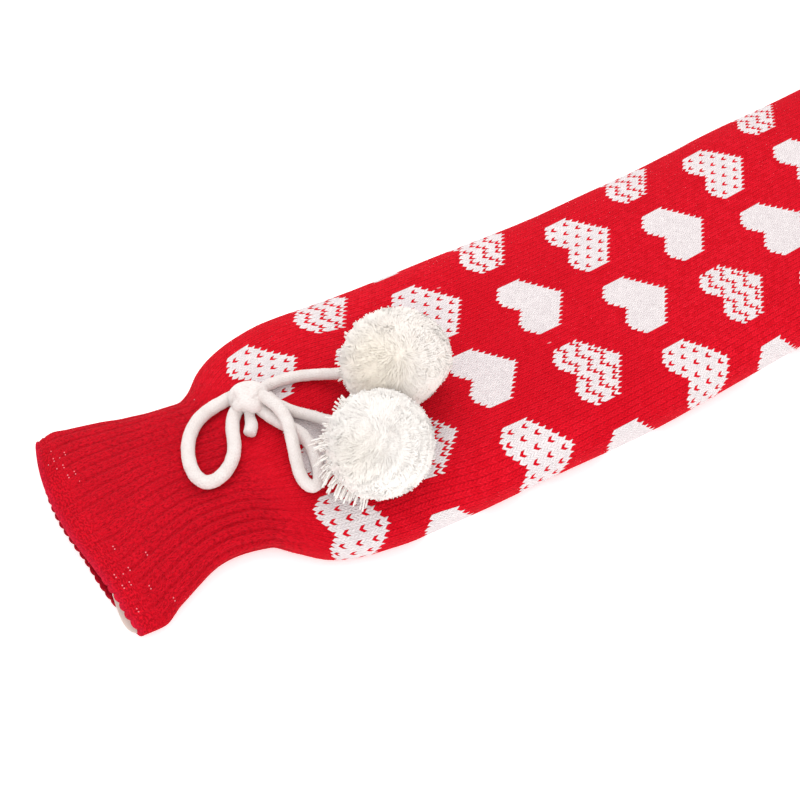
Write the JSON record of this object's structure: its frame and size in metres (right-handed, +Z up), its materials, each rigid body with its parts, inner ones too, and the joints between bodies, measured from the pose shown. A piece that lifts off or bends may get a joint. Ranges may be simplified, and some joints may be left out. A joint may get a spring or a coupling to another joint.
{
  "type": "hot water bottle cover",
  "caption": "Long knitted hot water bottle cover with a ribbed open neck, heart pattern and a cord bow at the waist whose tails end in pompoms.",
  "frame": {"origin": "on the surface it lies on, under the middle of the cover's own box", "axes": "+X along the cover, from its open mouth at -X to its closed end; +Z up, out of its top face; +Y across it"},
  "size_m": [0.746, 0.1354, 0.0654],
  "materials": {
    "red_knit": "matte knitting in red and white yarn",
    "cord_yarn": "soft cream cord",
    "pile_yarn": "cream cut pile"
  },
  "bodies": {
    "root": {"cover": "red_knit", "tie_knot": "cord_yarn", "tie_loop_left": "cord_yarn", "tie_loop_right": "cord_yarn", "tie_tail_far": "cord_yarn", "tie_tail_near": "cord_yarn", "pompom_far": "pile_yarn", "pompom_near": "pile_yarn"}
  },
  "joints": []
}
